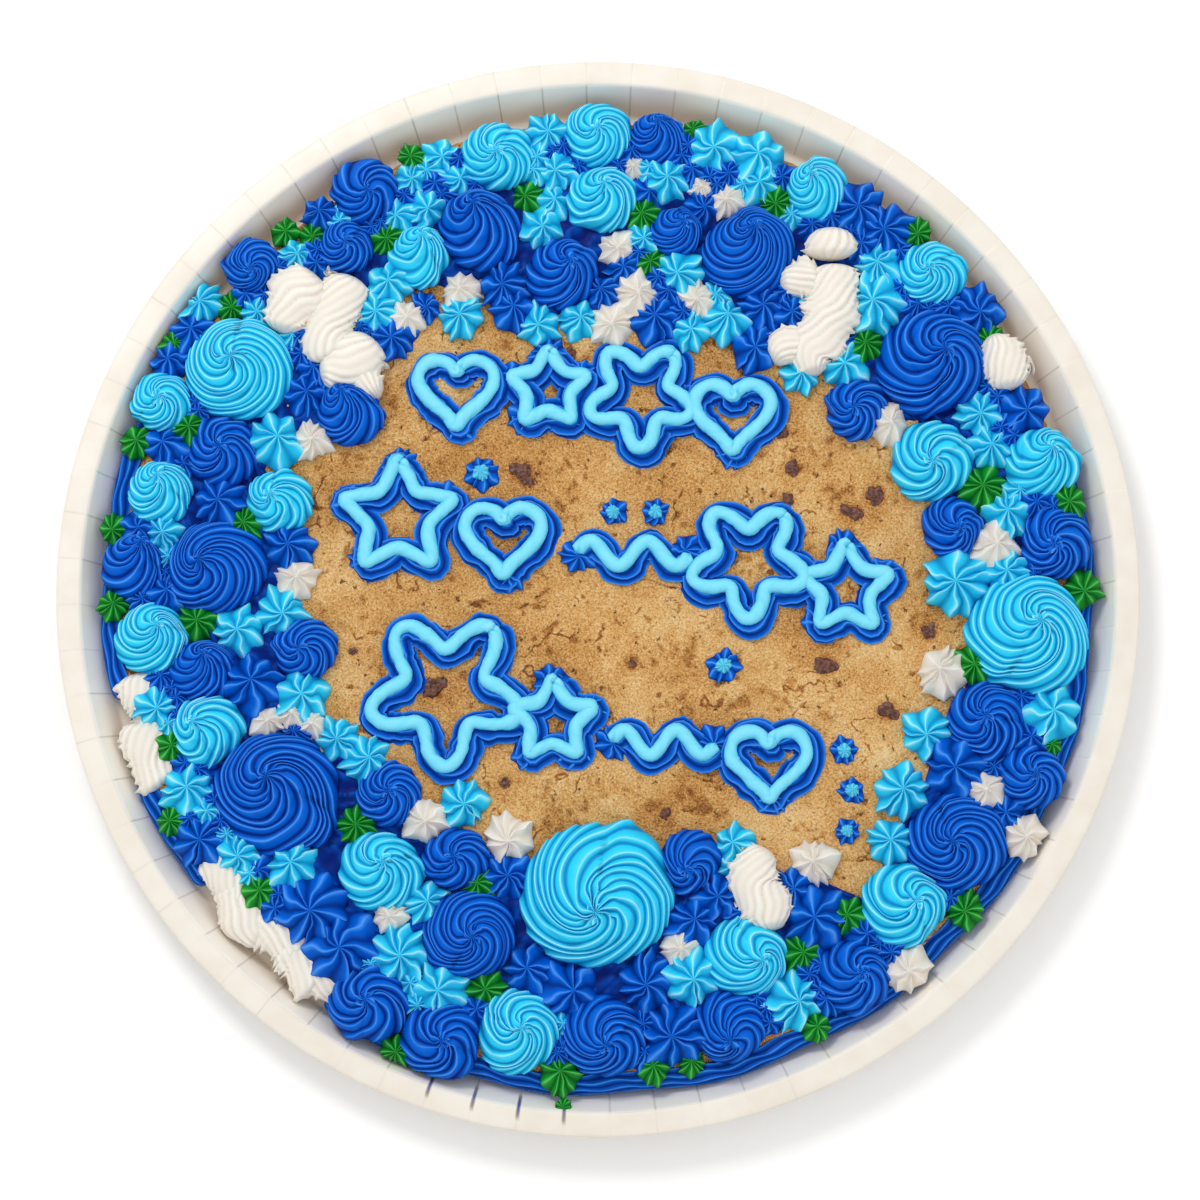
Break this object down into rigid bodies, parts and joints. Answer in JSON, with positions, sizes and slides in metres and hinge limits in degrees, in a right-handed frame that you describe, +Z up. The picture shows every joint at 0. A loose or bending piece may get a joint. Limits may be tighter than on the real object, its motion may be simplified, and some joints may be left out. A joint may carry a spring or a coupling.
{
  "type": "cookie cake",
  "caption": "Large round chocolate chip cookie with a thick border of piped blue icing and piped shapes on top, resting in a shallow pleated paperboard tray.",
  "frame": {"origin": "middle of the tray's underside, on the surface it rests on", "axes": "+Z up through the cookie, +X to the right and +Y to the back as the piped rows are seen upright"},
  "size_m": [0.4328, 0.4328, 0.0366],
  "materials": {
    "tray_paperboard": "satin",
    "cookie_baked": "matte",
    "icing_royal_blue": "satin",
    "icing_sky_blue": "satin",
    "icing_leaf_green": "satin",
    "icing_white": "satin",
    "chocolate": "satin"
  },
  "bodies": {
    "root": {"tray": "tray_paperboard", "cookie": "cookie_baked", "royal_swirl_01": "icing_royal_blue", "royal_swirl_02": "icing_royal_blue", "royal_swirl_03": "icing_royal_blue", "royal_swirl_04": "icing_royal_blue", "royal_swirl_05": "icing_royal_blue", "royal_swirl_06": "icing_royal_blue", "royal_swirl_07": "icing_royal_blue", "royal_swirl_08": "icing_royal_blue", "royal_swirl_09": "icing_royal_blue", "royal_swirl_10": "icing_royal_blue", "royal_swirl_11": "icing_royal_blue", "royal_swirl_12": "icing_royal_blue", "royal_swirl_13": "icing_royal_blue", "royal_swirl_14": "icing_royal_blue", "royal_swirl_15": "icing_royal_blue", "royal_swirl_16": "icing_royal_blue", "royal_swirl_17": "icing_royal_blue", "royal_swirl_18": "icing_royal_blue", "royal_swirl_19": "icing_royal_blue", "royal_swirl_20": "icing_royal_blue", "royal_swirl_21": "icing_royal_blue", "royal_swirl_22": "icing_royal_blue", "royal_swirl_23": "icing_royal_blue", "royal_swirl_24": "icing_royal_blue", "royal_swirl_25": "icing_royal_blue", "royal_swirl_26": "icing_royal_blue", "royal_swirl_27": "icing_royal_blue", "royal_swirl_28": "icing_royal_blue", "royal_swirl_29": "icing_royal_blue", "royal_swirl_30": "icing_royal_blue", "royal_swirl_31": "icing_royal_blue", "sky_swirl_01": "icing_sky_blue", "sky_swirl_02": "icing_sky_blue", "sky_swirl_03": "icing_sky_blue", "sky_swirl_04": "icing_sky_blue", "sky_swirl_05": "icing_sky_blue", "sky_swirl_06": "icing_sky_blue", "sky_swirl_07": "icing_sky_blue", "sky_swirl_08": "icing_sky_blue", "sky_swirl_09": "icing_sky_blue", "sky_swirl_10": "icing_sky_blue", "sky_swirl_11": "icing_sky_blue", "sky_swirl_12": "icing_sky_blue", "sky_swirl_13": "icing_sky_blue", "sky_swirl_14": "icing_sky_blue", "sky_swirl_15": "icing_sky_blue", "sky_swirl_16": "icing_sky_blue", "sky_swirl_17": "icing_sky_blue", "sky_swirl_18": "icing_sky_blue", "sky_swirl_19": "icing_sky_blue", "sky_swirl_20": "icing_sky_blue", "white_ruffle_1": "icing_white", "white_ruffle_2": "icing_white", "white_ruffle_3": "icing_white", "white_ruffle_4": "icing_white"}
  },
  "joints": []
}
